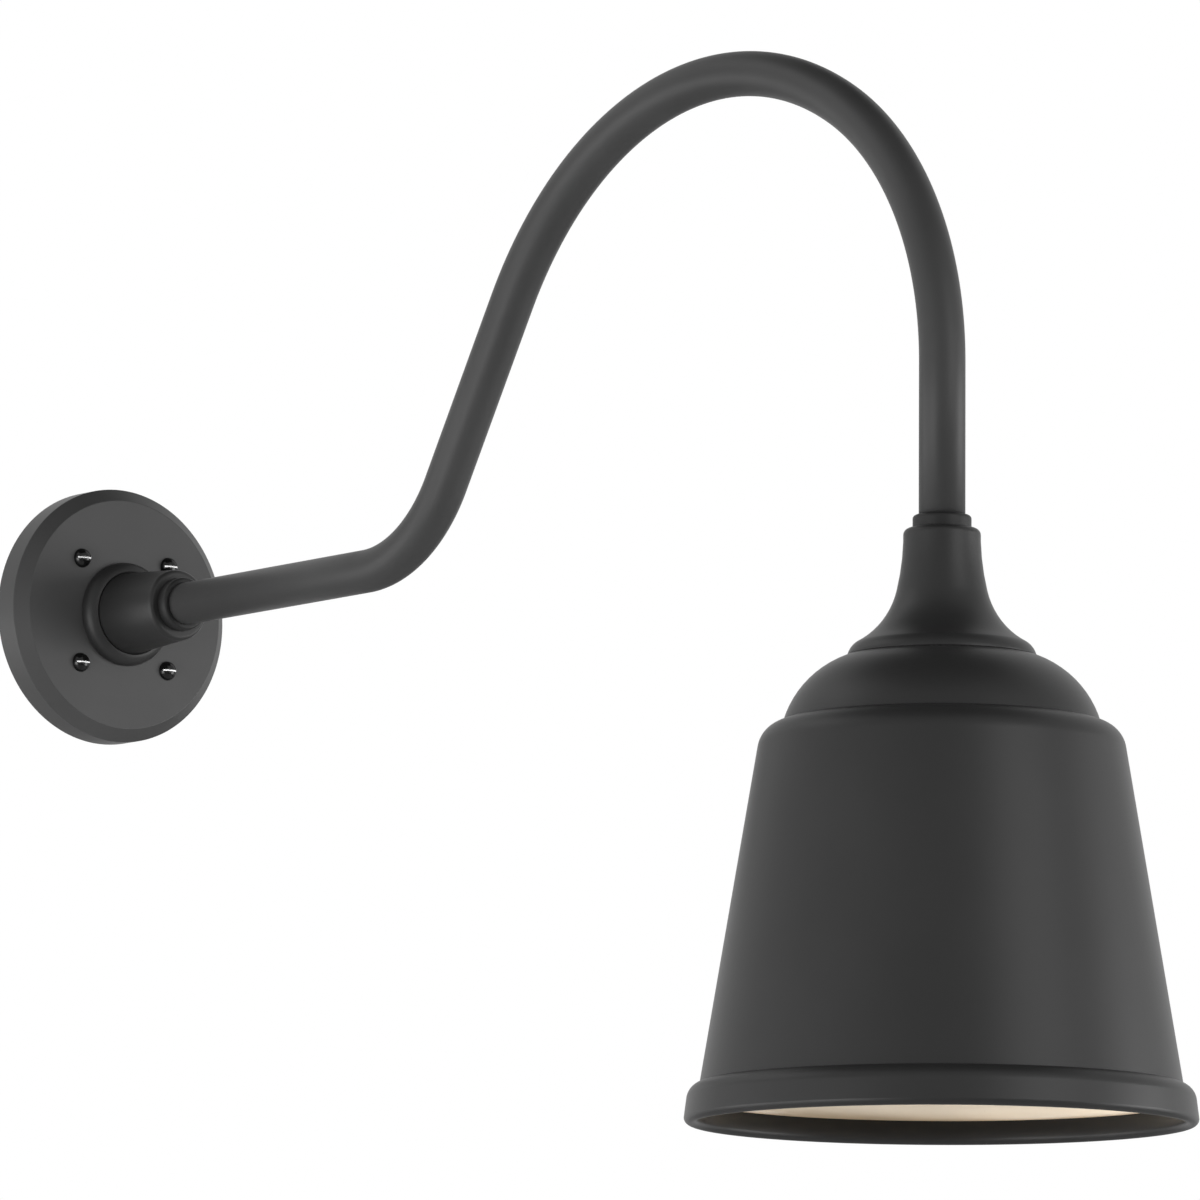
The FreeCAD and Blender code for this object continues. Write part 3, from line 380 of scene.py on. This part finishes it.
for index, (x, z) in enumerate(boss_places):
    seat = Matrix.Translation((x, 0, z)) @ ON_WALL
    screw = turned([(0, head_top), (head_radius, plate_depth, (0.72, 0.3)), (shank_radius, plate_depth),
                    (shank_radius, thread_start), (core_radius, thread_start),
                    (core_radius, -thread_length), (0, -screw_tip)], seat, steps=48, closed=False)
    screw = cut(screw, [thread(-thread_length, thread_length, seat)], "UNION")
    slot = bmesh.new()
    bmesh.ops.create_cube(slot, size=1.0)
    bmesh.ops.scale(slot, vec=(cutter_length, cutter_height, slot_width), verts=slot.verts)
    bmesh.ops.translate(slot, vec=(x, -slot_floor - cutter_height / 2, z), verts=slot.verts)
    screw = cut(screw, [slot])
    made = piece("plate_screw_%d" % (index + 1), screw, "wall_mount", screw_black, "screw_black",
                 "plate_screws")
    made.data.materials.append(slot_metal)
    for face in made.data.polygons:
        near = abs(face.center.z - z) < slot_edge
        level = abs(face.normal.z) > 0.9 or face.normal.y < -0.95
        if near and level and slot_bed < -face.center.y < slot_mouth:
            face.material_index = 1


# WALL GASKET
# A foam rubber ring, pressed into the groove in the plate's rim.
# It seals the plate to the wall as the four screws draw it up.

gasket_foam, tree, shader, place = new_material("gasket_foam")
tree.links.new(mixed(tree, mapped(tree, noise(tree, place, 1200.0), 0.0, 1.0), (0.012, 0.012, 0.012, 1),
                     (0.03, 0.03, 0.03, 1)), shader.inputs["Base Color"])
shader.inputs["Roughness"].default_value = 0.9
gasket = turned([(gasket_radius, 0),
                 (gasket_radius, gasket_depth),
                 (gasket_radius - gasket_width, gasket_depth),
                 (gasket_radius - gasket_width, 0)], ON_WALL, steps=160)
piece("wall_foam_ring", gasket, "wall_mount", gasket_foam, "gasket_foam", "wall_gasket")


# HUB
# The casting that carries the arm: a round bead on the plate, then a tapered nose with a rounded edge.
# Its spigot goes through the plate and a toothed washer and a nut hold it there.

hub_bead_radius = 31.0 * MM
hub_crown_radius = 25.2 * MM
hub_crown_depth = 31.0 * MM
hub_base_radius = 24.2 * MM
hub_crease_depth = 30.3 * MM
hub_nose_radius = 21.0 * MM
hub_nose_depth = 79.5 * MM
hub_nose_round = 2.5 * MM
hub_spigot_depth = 11.5 * MM
hub_spigot_radius = 10.0 * MM
hub_hole_radius = 5.1 * MM
tube_bore = 12.55 * MM
seal_seat_radius = 14.4 * MM
seal_seat_depth = 7.5 * MM
grub_hole_radius = 2.55 * MM
hub_grub_depth = 55.167 * MM
hub_drill_end = 49.0 * MM
tube_stop_depth = 47.2 * MM
hub_throat_radius = 8.0 * MM
hub_throat_depth = 28.5 * MM

hub_coat = finish("hub_coat", powder_grain, coat_colour, 0.42, specular=0.2)
hub = turned([(hub_hole_radius, hub_spigot_depth),
              (hub_spigot_radius, hub_spigot_depth),
              (hub_spigot_radius, plate_depth),
              (hub_bead_radius, plate_depth),
              (hub_crown_radius, hub_crown_depth, (0.293, 0.707)),
              (hub_base_radius, hub_crease_depth),
              (hub_nose_radius, hub_nose_depth, hub_nose_round),
              (seal_seat_radius, hub_nose_depth),
              (seal_seat_radius, hub_nose_depth - seal_seat_depth),
              (tube_bore, hub_nose_depth - seal_seat_depth),
              (tube_bore, tube_stop_depth),
              (hub_throat_radius, tube_stop_depth),
              (hub_throat_radius, hub_throat_depth),
              (hub_hole_radius, hub_throat_depth)], ON_WALL)
hub = cut(hub, [rod(grub_hole_radius, (0, -hub_grub_depth, 0), (hub_drill_end, -hub_grub_depth, 0))])
piece("hub_casting", hub, "wall_mount", hub_coat, "hub_coat", "hub")


# COLLARS
# Two alike screwed rings, turned from aluminium and coated, one on the hub and one on the neck.
# Each presses a rubber seal round the tube.

collar_radius = 15.8 * MM
collar_height = 7.2 * MM
collar_round = 2.0 * MM
collar_bore_round = 0.5 * MM
collar_foot_round = 0.35 * MM
collar_spigot_radius = 14.3 * MM
collar_spigot_length = 5.6 * MM
neck_top = -32.87 * MM

# The collars' coat colour is darker than coat_colour: painted shade, a shaded copy of the one black powder
# coat, for where the rings sit in against the hub and the neck.
collar_coat = finish("collar_coat", powder_grain, (0.014, 0.014, 0.014, 1), 0.48, specular=0.16)
for name, node, body, seat, face in (
        ("wall_collar_ring", "wall_collar", "wall_mount", ON_WALL, hub_nose_depth),
        ("drop_collar_ring", "drop_collar", "head", ON_DROP, neck_top)):
    ring = turned([(tube_bore, face + collar_height, collar_bore_round),
                   (collar_radius, face + collar_height, collar_round),
                   (collar_radius, face, collar_foot_round),
                   (collar_spigot_radius, face),
                   (collar_spigot_radius, face - collar_spigot_length),
                   (tube_bore, face - collar_spigot_length)], seat, steps=96)
    piece(name, ring, body, collar_coat, "collar_coat", node)


# ARM
# A steel tube of 25 mm, bent cold in one plane on three bending blocks and powder-coated.
# It ends in the hub at the wall and in the neck over the shade, and both let it turn.

arm_radius = 12.5 * MM
arm_wall = 2.0 * MM
arm_start = 47.5 * MM
leg_straight = 116.0 * MM
drop_straight = 114.0 * MM
leg_slope = 57.7
front_bend = 58.5
foot_bend_radius = 90.5 * MM
crest_bend_radius = 219.0 * MM
front_bend_radius = 178.0 * MM
foot_sample = 200.0 * MM
tube_sides = 72
bend_step = 1.5

# The arm's coat colour is lighter than coat_colour: painted light, a lit copy of the one black powder
# coat, for the light on the arch's top and sides.
arm_coat = finish("arm_coat", powder_grain, (0.038, 0.038, 0.038, 1), 0.45, specular=0.16)


def edges_among(points):
    """The edges that join the points of a ring."""
    return list({edge for point in points for edge in point.link_edges
                 if edge.other_vert(point) in points})


tube = bmesh.new()
ring = bmesh.ops.create_circle(tube, cap_ends=False, radius=arm_radius, segments=tube_sides,
                               matrix=Matrix.Translation((0, -arm_start, 0)) @ ON_WALL)["verts"]
crest_bend = leg_slope + 90 - front_bend
span = (foot_bend_radius * sin(radians(leg_slope)) + leg_straight * cos(radians(leg_slope))
        + crest_bend_radius * (sin(radians(leg_slope)) + sin(radians(crest_bend - leg_slope)))
        + front_bend_radius * (1 - sin(radians(crest_bend - leg_slope))))
foot_straight = REACH - arm_start - span
centre = Vector((0, -arm_start, 0))
heading = 0.0
for straight, radius, turn in ((foot_straight, foot_bend_radius, leg_slope),
                               (leg_straight, crest_bend_radius, -crest_bend),
                               (0, front_bend_radius, -front_bend),
                               (drop_straight, 0, 0)):
    if straight:
        grown = bmesh.ops.extrude_edge_only(tube, edges=edges_among(ring))["geom"]
        ring = [item for item in grown if isinstance(item, bmesh.types.BMVert)]
        step = Vector((0, -cos(heading), sin(heading))) * straight
        bmesh.ops.translate(tube, verts=ring, vec=step)
        centre += step
    if turn:
        side = 1 if turn > 0 else -1
        pivot = centre + Vector((0, sin(heading), cos(heading))) * radius * side
        bent = bmesh.ops.spin(tube, geom=edges_among(ring), cent=pivot, axis=(1, 0, 0), dvec=(0, 0, 0),
                              angle=-radians(turn), steps=ceil(abs(turn) / bend_step),
                              use_merge=False, use_duplicate=False)["geom_last"]
        ring = [item for item in bent if isinstance(item, bmesh.types.BMVert)]
        centre = pivot + Matrix.Rotation(-radians(turn), 3, "X") @ (centre - pivot)
        heading += radians(turn)
bmesh.ops.recalc_face_normals(tube, faces=tube.faces)
# The faces of the level foot have to look away from its centreline
if sum(face.normal.z * face.calc_center_median().z for face in tube.faces
       if -face.calc_center_median().y < foot_sample) < 0:
    bmesh.ops.reverse_faces(tube, faces=tube.faces)
arm = piece("arm_tube_bent", tube, "arm", arm_coat, "arm_coat", "arm_tube")
thick = arm.modifiers.new("wall", "SOLIDIFY")
thick.thickness = arm_wall
thick.offset = -1.0


# NECK
# The bell-mouthed casting over the shade: a shank, a waist that opens out, and a stepped flange.
# The tube turns in its bore, and a web inside it carries two posts for the lampholder.

neck_waist = -66.37 * MM
neck_mouth = -94.9 * MM
neck_base = -101.87 * MM
neck_web_top = -56.17 * MM
neck_web = -60.17 * MM
neck_top_radius = 20.8 * MM
waist_radius = 24.3 * MM
mouth_radius = 46.2 * MM
flange_radius = 50.5 * MM
neck_opening_radius = 39.5 * MM
post_place = 10.5 * MM
post_radius = 3.5 * MM
post_end = -70.17 * MM
neck_grub_level = -48.203 * MM
neck_drill_end = 42.0 * MM
neck_top_round = 3.5 * MM
neck_shank = 7.0 * MM
neck_skin = 3.0 * MM
neck_web_step = 1.5 * MM
flange_edge = 0.8 * MM
post_start = -58.17 * MM

neck_coat = finish("neck_coat", powder_grain, coat_colour, 0.42, specular=0.2)
neck = turned([(hub_hole_radius, neck_web_top),
               (tube_bore, neck_web_top),
               (tube_bore, neck_top - seal_seat_depth),
               (seal_seat_radius, neck_top - seal_seat_depth),
               (seal_seat_radius, neck_top),
               (neck_top_radius, neck_top, neck_top_round),
               (neck_top_radius, neck_top - neck_shank),
               (waist_radius, neck_waist, (0.23, 0.42)),
               (mouth_radius, neck_mouth, (0.358, 0.584)),
               (flange_radius, neck_base + flange_edge, (0.6, 0.41)),
               (flange_radius, neck_base),
               (neck_opening_radius, neck_base),
               (neck_opening_radius, neck_mouth),
               (waist_radius - neck_skin, neck_waist, (0.642, 0.416)),
               (neck_top_radius - neck_web_step, neck_web),
               (hub_hole_radius, neck_web)], ON_DROP)
posts = [rod(post_radius, (x, -REACH, post_start), (x, -REACH, post_end))
         for x in (-post_place, post_place)]
neck = cut(neck, posts, "UNION")
neck = cut(neck, [rod(grub_hole_radius, (0, -REACH, neck_grub_level),
                      (0, -REACH + neck_drill_end, neck_grub_level))])
piece("neck_casting", neck, "head", neck_coat, "neck_coat", "neck")


# SHADE
# One shell of 1.5 mm aluminium, spun on a chuck: a domed top, a shoulder and a long cone, with the
# edge rolled back inside it. It is coated black outside and cream inside, and three screws hold it.

shade_wall = 1.5 * MM
shade_top = -102.87 * MM
dome_base = -137.37 * MM
shoulder_base = -150.87 * MM
rim_top = -330.77 * MM
lip_level = -349.12 * MM
hem_end = -339.87 * MM
shade_hole_radius = 38.0 * MM
shade_flat_radius = 53.3 * MM
dome_radius = 84.8 * MM
dome_step_radius = 86.2 * MM
dome_step = 0.5 * MM
shoulder_radius = 98.3 * MM
cone_radius = 128.4 * MM
rim_swell_radius = 135.3 * MM
rim_swell = 7.5 * MM
rim_radius = 136.7 * MM
lip_radius = 133.15 * MM
lip_round = 3.55 * MM
hem_radius = 129.6 * MM

# A glossy skin, fired or stoved: long low waves and next to no grain
glaze_grain = grain_group("glaze_grain", 60.0, 700.0, 25.0, 0.03)
shade_coat = finish("shade_coat", powder_grain, coat_colour, 0.42, specular=0.2)
cream_enamel = finish("cream_enamel", glaze_grain, (0.92, 0.82, 0.68, 1), 0.3, 0.01 * MM)
shell = turned([(shade_hole_radius, shade_top),
                (shade_flat_radius, shade_top),
                (dome_radius, dome_base, (0.56, 0.33)),
                (dome_step_radius, dome_base - dome_step),
                (shoulder_radius, shoulder_base, (0.686, 0.377)),
                (cone_radius, rim_top),
                (rim_swell_radius, rim_top - rim_swell, (0.71, 0.43)),
                (rim_radius, lip_level),
                (lip_radius, lip_level - lip_round, (0.2929, 0.7071)),
                (hem_radius, lip_level, (0.7071, 0.2929)),
                (hem_radius, hem_end)], ON_DROP, steps=192, closed=False)
top_face = max(shell.faces, key=lambda face: face.calc_center_median().z)
if top_face.normal.z < 0:
    bmesh.ops.reverse_faces(shell, faces=shell.faces)
shade = piece("shade_shell", shell, "head", shade_coat, "shade_coat", "shade")
shade.data.materials.append(cream_enamel)
thick = shade.modifiers.new("wall", "SOLIDIFY")
thick.thickness = shade_wall
thick.offset = -1.0
thick.use_even_offset = True
thick.material_offset = 1
thick.material_offset_rim = 1


# SHADE SCREWS AND GASKET
# Three plated pan-head screws come up from inside the shade and pull it against the neck's flange.
# A thin foam ring lies between the two.


def shown(material, *names):
    """CAD pieces that are shown as they are, in a finish of their own."""
    for name in names:
        nodes[name].data.materials.clear()
        nodes[name].data.materials.append(material)


# Plated metal: close, low scratches from the barrel it was plated in, and a mottled shine
plated_grain = grain_group("plated_grain", 900.0, 5200.0, 40.0, 0.08)
zinc_steel = finish("zinc_steel", plated_grain, (0.62, 0.62, 0.6, 1), 0.32, 0.001 * MM, 0.2, metallic=1.0)
shown(zinc_steel, "shade_screws")
shown(gasket_foam, "shade_gasket")


# LAMPHOLDER
# A glazed porcelain body, pressed and fired, that two long screws hold on the posts in the neck.
# A pressed brass shell with a rolled thread lines it, over a sprung contact strip.

holder_top = post_end
holder_end = -113.17 * MM
holder_roof = -79.17 * MM
holder_radius = 17.0 * MM
holder_bore = 14.6 * MM
terminal_place = 9.0 * MM
terminal_hole_depth = 6.0 * MM
holder_hole_radius = 1.65 * MM
holder_round = 1.5 * MM

porcelain = finish("holder_porcelain", glaze_grain, (0.88, 0.87, 0.83, 1), 0.12, 0.01 * MM, 0.04)
porcelain.node_tree.nodes["Principled BSDF"].inputs["Coat Weight"].default_value = 0.4
holder = turned([(0, holder_top),
                 (holder_radius, holder_top, holder_round),
                 (holder_radius, holder_end, holder_round),
                 (holder_bore, holder_end),
                 (holder_bore, holder_roof),
                 (0, holder_roof)], ON_DROP, steps=96, closed=False)
holes = [rod(holder_hole_radius, (x, -REACH, holder_top + overrun), (x, -REACH, holder_roof - overrun))
         for x in (-post_place, post_place)]
holes += [rod(holder_hole_radius, (0, -REACH + y, holder_top + overrun),
              (0, -REACH + y, holder_top - terminal_hole_depth))
          for y in (-terminal_place, terminal_place)]
holder = cut(holder, holes)
piece("holder_body", holder, "head", porcelain, "holder_porcelain", "lampholder")
brass = finish("brass", plated_grain, (0.78, 0.58, 0.26, 1), 0.26, 0.001 * MM, 0.16, metallic=1.0)
shown(brass, "screw_shell", "centre_contact", "terminal_screws", "earth_screw")
shown(zinc_steel, "lampholder_screws")


# LAMP
# A screw-in bulb: a rolled metal base with a glass insulator and a soldered tip, a moulded white
# housing that swells out to the globe, a ring of emitters on a board, and the opal globe over them.

lamp_collar = -108.67 * MM
lamp_collar_end = -114.67 * MM
lamp_housing_end = -144.67 * MM
lamp_seat = -140.67 * MM
globe_radius = 30.0 * MM
globe_wall = 1.2 * MM
globe_straight_end = -152.67 * MM
lamp_collar_radius = 13.6 * MM
lamp_collar_round = 0.45 * MM
board_seat_radius = 25.1 * MM

# Moulded plastic: the fine spark-worn skin of the mould, very even in colour
moulded_grain = grain_group("moulded_grain", 1300.0, 3600.0, 12.0, 0.04)
housing_white = finish("lamp_housing_white", moulded_grain, (0.8, 0.8, 0.78, 1), 0.45, 0.003 * MM, 0.08)
housing = turned([(0, lamp_collar),
                  (lamp_collar_radius, lamp_collar, lamp_collar_round),
                  (lamp_collar_radius, lamp_collar_end),
                  (globe_radius - globe_wall, lamp_housing_end, (0.42, 0.55)),
                  (board_seat_radius, lamp_housing_end),
                  (board_seat_radius, lamp_seat),
                  (0, lamp_seat)], ON_DROP, steps=96, closed=False)
piece("bulb_housing", housing, "lamp", housing_white, "lamp_housing_white", "lamp_housing")
opal = finish("opal_globe", moulded_grain, (0.86, 0.85, 0.81, 1), 0.28, 0.002 * MM, 0.05)
globe = turned([(globe_radius, lamp_housing_end),
                (globe_radius, globe_straight_end),
                (0, globe_straight_end - globe_radius, (0.2929, 0.7071))],
               ON_DROP, steps=96, closed=False)
low_face = min(globe.faces, key=lambda face: face.calc_center_median().z)
if low_face.normal.z > 0:
    bmesh.ops.reverse_faces(globe, faces=globe.faces)
bulb = piece("bulb_globe", globe, "lamp", opal, "opal_globe", "lamp_diffuser")
thick = bulb.modifiers.new("wall", "SOLIDIFY")
thick.thickness = globe_wall
thick.offset = -1.0
shown(finish("lamp_thread_metal", plated_grain, (0.72, 0.72, 0.71, 1), 0.24, 0.001 * MM, 0.14,
             metallic=1.0), "lamp_base")
shown(finish("lamp_contact_metal", plated_grain, (0.58, 0.58, 0.56, 1), 0.38, 0.006 * MM, 0.2,
             metallic=1.0), "lamp_contact")
shown(finish("lamp_insulator_black", glaze_grain, (0.012, 0.012, 0.014, 1), 0.1, 0.004 * MM, 0.05),
      "lamp_insulator")
shown(finish("lamp_board_white", moulded_grain, (0.82, 0.82, 0.82, 1), 0.3, 0.001 * MM, 0.05), "led_board")
shown(finish("emitter_yellow", glaze_grain, (0.86, 0.66, 0.12, 1), 0.35, 0.002 * MM, 0.05), "led_emitters")


# FIXINGS AND SEALS
# The toothed washer and nut on the hub's spigot, the grub screws that stop each end of the tube, and
# the rubber rings and grommets, which are moulded and left matt.

shown(zinc_steel, "hub_washer", "hub_locknut", "hub_set_screw", "neck_set_screw")
seal_rubber = finish("seal_rubber", moulded_grain, (0.016, 0.016, 0.016, 1), 0.72, 0.006 * MM, 0.2,
                     specular=0.3)
shown(seal_rubber, "wall_seal", "drop_seal", "hub_grommet", "neck_grommet")


# CABLE, LEADS AND CONNECTORS
# A round flexible cable runs through the tube. Its cores come out in the plate, where ribbed caps
# take them, and over the lampholder. They are extruded plastic, and the caps are moulded.

for name, colour, roughness, names in (
        ("cable_jacket", (0.02, 0.02, 0.02, 1), 0.6, ["arm_cable"]),
        ("live_insulation", (0.018, 0.018, 0.018, 1), 0.4, ["live_lead", "lamp_live_lead"]),
        ("neutral_insulation", (0.78, 0.78, 0.74, 1), 0.4, ["neutral_lead", "lamp_neutral_lead"]),
        ("earth_insulation", (0.03, 0.26, 0.08, 1), 0.4, ["earth_lead"]),
        ("connector_plastic", (0.72, 0.24, 0.03, 1), 0.48, ["wire_connectors"])):
    shown(finish(name, moulded_grain, colour, roughness, 0.004 * MM), *names)


# THE LAMPS AND THE CAMERA
# Five soft boxes stand round the object in a white room, over a pale floor that is seen through from
# below. They are set so that a colour facing the camera renders as it is written. A dark card hangs
# overhead, out of the camera's sight, and is what the faces that look up reflect.

floor_level = -2.0
floor_half = 6.0
floor_glow = 0.78
card_half = 1.7
card_level = 2.6
room_light = 0.23
box_size = 1.8
box_distance = 3.2
middle_y = -0.45
floor_mesh = bmesh.new()
bmesh.ops.create_grid(floor_mesh, x_segments=1, y_segments=1, size=floor_half,
                      matrix=Matrix.Translation((0, 0, floor_level)))
floor = bpy.data.objects.new("floor", mesh_of(floor_mesh, "floor"))
bpy.context.scene.collection.objects.link(floor)
pale, tree, shader, place = new_material("pale_floor")
tree.links.new(mixed(tree, mapped(tree, noise(tree, place, 3.0), 0.0, 1.0), (0.8, 0.8, 0.8, 1),
                     (0.84, 0.84, 0.84, 1)), shader.inputs["Base Color"])
shader.inputs["Roughness"].default_value = 0.8
shader.inputs["Emission Color"].default_value = (1, 1, 1, 1)
rays = tree.nodes.new("ShaderNodeLightPath")
tree.links.new(mapped(tree, rays.outputs["Is Camera Ray"], 0.0, floor_glow, 0.0, 1.0),
               shader.inputs["Emission Strength"])
above = tree.nodes.new("ShaderNodeMixShader")
tree.links.new(tree.nodes.new("ShaderNodeNewGeometry").outputs["Backfacing"], above.inputs["Fac"])
tree.links.new(shader.outputs["BSDF"], above.inputs[1])
tree.links.new(tree.nodes.new("ShaderNodeBsdfTransparent").outputs["BSDF"], above.inputs[2])
tree.links.new(above.outputs["Shader"], tree.nodes["Material Output"].inputs["Surface"])
floor.data.materials.append(pale)

card_mesh = bmesh.new()
bmesh.ops.create_grid(card_mesh, x_segments=1, y_segments=1, size=card_half,
                      matrix=Matrix.Translation((0, middle_y, card_level)))
card = bpy.data.objects.new("overhead_card", mesh_of(card_mesh, "overhead_card"))
bpy.context.scene.collection.objects.link(card)
card_black, tree, shader, place = new_material("card_black")
tree.links.new(mapped(tree, noise(tree, place, 8.0), 0.8, 0.95), shader.inputs["Roughness"])
shader.inputs["Base Color"].default_value = (0.03, 0.03, 0.03, 1)
card.data.materials.append(card_black)
card.visible_camera = False

world = bpy.data.worlds.new("studio")
bpy.context.scene.world = world
world.use_nodes = True
tree = world.node_tree
background = tree.nodes["Background"]
rays = tree.nodes.new("ShaderNodeLightPath")
plain = sums(tree, "MAXIMUM", rays.outputs["Is Camera Ray"], rays.outputs["Is Transmission Ray"])
plain = sums(tree, "MAXIMUM", plain, rays.outputs["Is Glossy Ray"])
background.inputs["Color"].default_value = (1, 1, 1, 1)
tree.links.new(mapped(tree, plain, room_light, 1.0, 0.0, 1.0), background.inputs["Strength"])

object_middle = Vector((0, middle_y, -0.05))
for name, way, power in (("right_box", (0.79, -0.6, -0.14), 70.0),
                         ("low_left_box", (-0.96, -0.13, -0.26), 70.0),
                         ("back_left_box", (-0.77, 0.59, -0.24), 43.0),
                         ("high_left_box", (-0.54, 0.43, 0.72), 13.0),
                         ("front_box", (0.13, -0.98, 0.17), 38.0)):
    data = bpy.data.lights.new(name, "AREA")
    data.shape = "SQUARE"
    data.size = box_size
    data.energy = power
    lamp = bpy.data.objects.new(name, data)
    bpy.context.scene.collection.objects.link(lamp)
    way = Vector(way).normalized()
    lamp.location = object_middle + way * box_distance
    lamp.rotation_mode = "QUATERNION"
    lamp.rotation_quaternion = way.to_track_quat("Z", "Y")

# The camera that fits the photograph: the plate, the screws, the arm and the rim
azimuth = radians(-37.46)
rise = radians(7.76)
roll = radians(0.352)
camera_place = (-3.2051, -4.6735, -0.7581)
back = Vector((sin(azimuth) * cos(rise), -cos(azimuth) * cos(rise), -sin(rise)))
level_right = Vector((cos(azimuth), sin(azimuth), 0))
level_up = level_right.cross(-back)
right = cos(roll) * level_right + sin(roll) * level_up
up = -sin(roll) * level_right + cos(roll) * level_up
camera_data = bpy.data.cameras.new("camera")
camera_data.lens = 285
camera_data.sensor_width = 36
camera_data.clip_start = 0.1
camera_data.clip_end = 50
camera = bpy.data.objects.new("camera", camera_data)
bpy.context.scene.collection.objects.link(camera)
camera.location = camera_place
camera.rotation_euler = Matrix((right, up, back)).transposed().to_euler()
bpy.context.scene.camera = camera
bpy.context.scene.view_settings.view_transform = "Standard"
